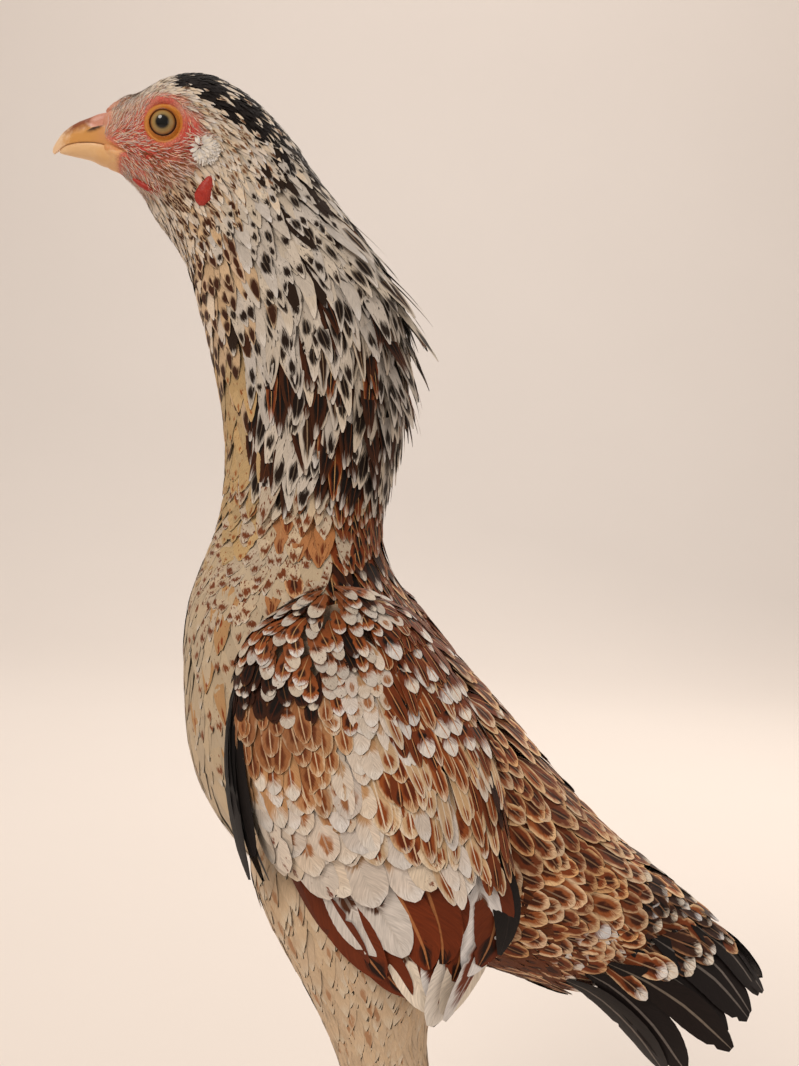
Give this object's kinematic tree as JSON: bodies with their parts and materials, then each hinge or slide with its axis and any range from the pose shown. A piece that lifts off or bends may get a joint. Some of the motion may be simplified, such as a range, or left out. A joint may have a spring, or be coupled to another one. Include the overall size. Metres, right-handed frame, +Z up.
{
  "type": "standing aseel hen",
  "caption": "Life-size still model of a standing aseel hen in an upright pose, speckled white, chestnut and black, resting flat on its soles",
  "frame": {"origin": "on the floor under the middle of the bounding box", "axes": "+Z up, the beak points to -X, the bird's left side to -Y, and the bird is symmetric about Y = 0"},
  "size_m": [0.3037, 0.1542, 0.5341],
  "materials": {
    "breast_plumage": "soft matt feather, cream with rusty flecks",
    "neck_plumage": "soft matt feather, white with black and chestnut drops",
    "wing_plumage": "smooth feather, chestnut and tan with white tips",
    "tail_plumage": "stiff feather, black brown quills under chestnut coverts",
    "face_skin": "bare pink red skin with pale bristles",
    "red_skin": "bare bright red skin",
    "beak_horn": "worn horn",
    "claw_horn": "worn horn",
    "eye": "wet and glossy",
    "leg_scale": "dry pale yellow scales"
  },
  "bodies": {
    "root": {"torso": "breast_plumage", "neck": "neck_plumage", "head": "face_skin", "comb": "red_skin", "beak_upper": "beak_horn", "beak_lower": "beak_horn", "tail": "tail_plumage", "eye_left": "eye", "eye_right": "eye", "earlobe_left": "red_skin", "earlobe_right": "red_skin", "wattle_left": "red_skin", "wattle_right": "red_skin", "wing_left": "wing_plumage", "wing_right": "wing_plumage", "thigh_left": "breast_plumage", "thigh_right": "breast_plumage", "shank_left": "leg_scale", "shank_right": "leg_scale", "foot_left": "leg_scale", "foot_right": "leg_scale", "toe_inner_left": "leg_scale", "toe_inner_right": "leg_scale", "claw_inner_left": "claw_horn", "claw_inner_right": "claw_horn", "toe_middle_left": "leg_scale", "toe_middle_right": "leg_scale", "claw_middle_left": "claw_horn", "claw_middle_right": "claw_horn", "toe_outer_left": "leg_scale", "toe_outer_right": "leg_scale", "claw_outer_left": "claw_horn", "claw_outer_right": "claw_horn", "toe_rear_left": "leg_scale", "toe_rear_right": "leg_scale", "claw_rear_left": "claw_horn", "claw_rear_right": "claw_horn"}
  },
  "joints": []
}
